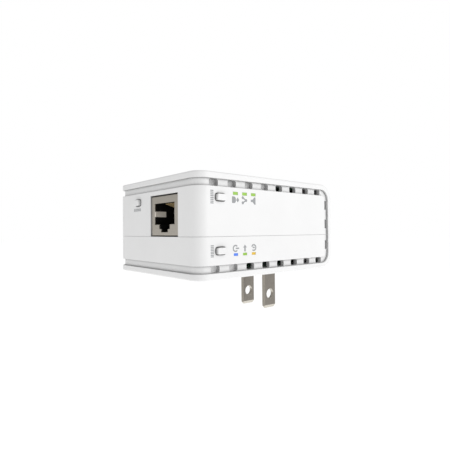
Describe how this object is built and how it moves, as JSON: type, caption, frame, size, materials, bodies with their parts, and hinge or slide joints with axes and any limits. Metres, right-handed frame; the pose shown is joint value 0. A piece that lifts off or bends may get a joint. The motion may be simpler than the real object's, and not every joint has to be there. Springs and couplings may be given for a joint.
{
  "type": "powerline adapter",
  "caption": "Plug-in powerline network adapter: two-shell case with framing vent groove, flat plug blades, shielded network socket, press buttons and lit indicator windows.",
  "frame": {"origin": "on the wall face of the case, halfway between the two plug blades", "axes": "+X along the indicator face, away from the network socket; +Y from the indicator face to the back; +Z away from the wall, so the blades point along -Z"},
  "size_m": [0.0658, 0.0511, 0.0495],
  "materials": {
    "case_plastic": "fine matte white",
    "button_plastic": "satin white",
    "dark_plastic": "moulded black",
    "shield_metal": "tinned sheet",
    "blade_metal": "nickel-plated brass",
    "contact_gold": "gold plated",
    "screw_steel": "zinc plated",
    "light_green": "lit, translucent",
    "light_blue": "lit, translucent",
    "light_amber": "lit, translucent",
    "lamp_resin": "clear resin on ceramic",
    "board_laminate": "solder-masked laminate",
    "component_black": "moulded package",
    "winding_tape": "polyester tape",
    "ferrite": "sintered ferrite",
    "capacitor_sleeve": "shrunk sleeve",
    "film_yellow": "moulded box",
    "fuse_ceramic": "glazed",
    "varistor_blue": "dipped epoxy",
    "enamelled_copper": "enamelled wire",
    "heat_sink_aluminium": "extruded",
    "antenna_brass": "stamped sheet",
    "label_film": "printed film, blank"
  },
  "bodies": {
    "case": {"antenna_back": "antenna_brass", "antenna_front": "antenna_brass", "blade_carrier": "dark_plastic", "board_link": "component_black", "bridge_rectifier": "component_black", "case_screw_1": "screw_steel", "case_screw_2": "screw_steel", "case_screw_3": "screw_steel", "filter_choke": "enamelled_copper", "fuse": "fuse_ceramic", "heat_sink": "heat_sink_aluminium", "line_coupling_transformer": "ferrite", "lower_lamp_1": "lamp_resin", "lower_lamp_2": "lamp_resin", "lower_lamp_3": "lamp_resin", "lower_light_pipe_1": "light_blue", "lower_light_pipe_2": "light_green", "lower_light_pipe_3": "light_amber", "lower_shell": "case_plastic", "mode_switch": "dark_plastic", "network_contact_1": "contact_gold", "network_contact_2": "contact_gold", "network_contact_3": "contact_gold", "network_contact_4": "contact_gold", "network_contact_5": "contact_gold", "network_contact_6": "contact_gold", "network_contact_7": "contact_gold", "network_contact_8": "contact_gold", "network_socket_housing": "dark_plastic", "network_socket_shield": "shield_metal", "network_transformer": "component_black", "output_capacitor": "capacitor_sleeve", "plug_blade_back": "blade_metal", "plug_blade_front": "blade_metal", "power_board": "board_laminate", "powerline_chip": "component_black", "radio_board": "board_laminate", "radio_chip": "component_black", "rating_label": "label_film", "reset_switch": "dark_plastic", "storage_capacitor": "capacitor_sleeve", "suppression_capacitor": "film_yellow", "sync_switch": "dark_plastic", "transformer_core": "ferrite", "transformer_winding": "winding_tape", "upper_lamp_1": "lamp_resin", "upper_lamp_2": "lamp_resin", "upper_lamp_3": "lamp_resin", "upper_light_pipe_1": "light_green", "upper_light_pipe_2": "light_green", "upper_light_pipe_3": "light_green", "upper_shell": "case_plastic", "varistor": "varistor_blue"},
    "mode_button": {"mode_button": "button_plastic", "mode_plunger": "dark_plastic"},
    "sync_button": {"sync_button": "button_plastic", "sync_plunger": "dark_plastic"},
    "reset_button": {"reset_button": "button_plastic", "reset_plunger": "dark_plastic"}
  },
  "joints": [
    {"name": "mode_press", "type": "slide", "parent": "case", "child": "mode_button", "axis": [0, 1, 0], "range_m": [0, 0.0005], "stiffness_N_per_m": 2400},
    {"name": "sync_press", "type": "slide", "parent": "case", "child": "sync_button", "axis": [0, 1, 0], "range_m": [0, 0.0005], "stiffness_N_per_m": 2400},
    {"name": "reset_press", "type": "slide", "parent": "case", "child": "reset_button", "axis": [1, 0, 0], "range_m": [0, 0.0005], "stiffness_N_per_m": 2400}
  ]
}
